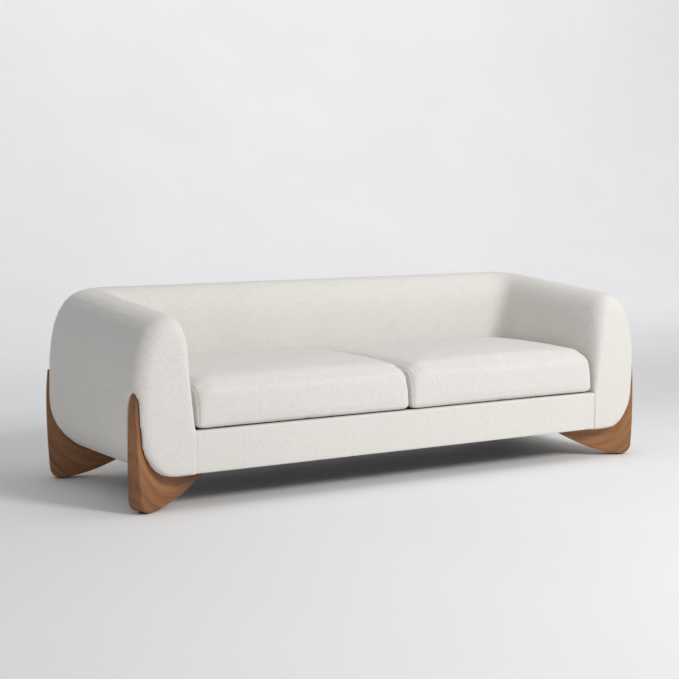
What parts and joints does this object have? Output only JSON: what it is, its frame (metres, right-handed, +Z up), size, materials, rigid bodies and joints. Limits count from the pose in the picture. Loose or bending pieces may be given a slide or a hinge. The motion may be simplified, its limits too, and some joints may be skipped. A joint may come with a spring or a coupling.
{
  "type": "sofa with wooden legs",
  "caption": "Low upholstered sofa with a continuous rounded back and arms, loose seat cushions and curved wooden corner legs.",
  "frame": {"origin": "on the floor, under the centre of the sofa's bounding box", "axes": "+X along the sofa's length, +Y from the front to the back, +Z up"},
  "size_m": [2.4, 0.9, 0.7693],
  "materials": {
    "upholstery_fabric": "looped boucle weave, matt, off-white",
    "leg_wood": "oiled walnut, satin, straight grain",
    "frame_timber": "sawn beech, unfinished",
    "foam": "polyurethane foam in polyester wadding",
    "lining_cloth": "black non-woven upholstery lining",
    "webbing": "elastic woven webbing and zip tape",
    "steel": "zinc plated",
    "felt": "pressed felt"
  },
  "bodies": {
    "sofa_body": {"back_bottom_rail": "frame_timber", "back_top_rail": "frame_timber", "deck_pad": "lining_cloth", "dust_cover": "lining_cloth", "front_fascia_board": "frame_timber", "front_rail_pad": "upholstery_fabric", "front_seat_rail": "frame_timber", "left_arm_bottom_rail": "frame_timber", "left_arm_front_post": "frame_timber", "left_arm_rear_post": "frame_timber", "left_arm_top_rail": "frame_timber", "left_back_stile": "frame_timber", "left_cross_rail": "frame_timber", "left_front_corner_block": "frame_timber", "left_front_glide": "felt", "left_front_leg": "leg_wood", "left_front_leg_bolt_1": "steel", "left_front_leg_bolt_2": "steel", "left_rear_corner_block": "frame_timber", "left_rear_glide": "felt", "left_rear_leg": "leg_wood", "left_rear_leg_bolt_1": "steel", "left_rear_leg_bolt_2": "steel", "left_seat_rail": "frame_timber", "middle_back_stile": "frame_timber", "rear_seat_rail": "frame_timber", "right_arm_bottom_rail": "frame_timber", "right_arm_front_post": "frame_timber", "right_arm_rear_post": "frame_timber", "right_arm_top_rail": "frame_timber", "right_back_stile": "frame_timber", "right_cross_rail": "frame_timber", "right_front_corner_block": "frame_timber", "right_front_glide": "felt", "right_front_leg": "leg_wood", "right_front_leg_bolt_1": "steel", "right_front_leg_bolt_2": "steel", "right_rear_corner_block": "frame_timber", "right_rear_glide": "felt", "right_rear_leg": "leg_wood", "right_rear_leg_bolt_1": "steel", "right_rear_leg_bolt_2": "steel", "right_seat_rail": "frame_timber", "tub_upholstery": "upholstery_fabric", "webbing_strap_1": "webbing", "webbing_strap_2": "webbing", "webbing_strap_3": "webbing", "webbing_strap_4": "webbing", "webbing_strap_5": "webbing", "webbing_strap_6": "webbing"},
    "left_cushion": {"left_cushion_cover": "upholstery_fabric", "left_cushion_core": "foam", "left_cushion_zip": "webbing"},
    "left_zip_slider": {"left_zip_pull": "steel"},
    "right_cushion": {"right_cushion_cover": "upholstery_fabric", "right_cushion_core": "foam", "right_cushion_zip": "webbing"},
    "right_zip_slider": {"right_zip_pull": "steel"}
  },
  "joints": [
    {"name": "left_cushion_lift", "type": "slide", "parent": "sofa_body", "child": "left_cushion", "axis": [0, 0, 1], "range_m": [0, 0.55]},
    {"name": "left_zip_slide", "type": "slide", "parent": "left_cushion", "child": "left_zip_slider", "axis": [1, 0, 0], "range_m": [0, 0.68]},
    {"name": "right_cushion_lift", "type": "slide", "parent": "sofa_body", "child": "right_cushion", "axis": [0, 0, 1], "range_m": [0, 0.55]},
    {"name": "right_zip_slide", "type": "slide", "parent": "right_cushion", "child": "right_zip_slider", "axis": [-1, 0, 0], "range_m": [0, 0.68]}
  ]
}
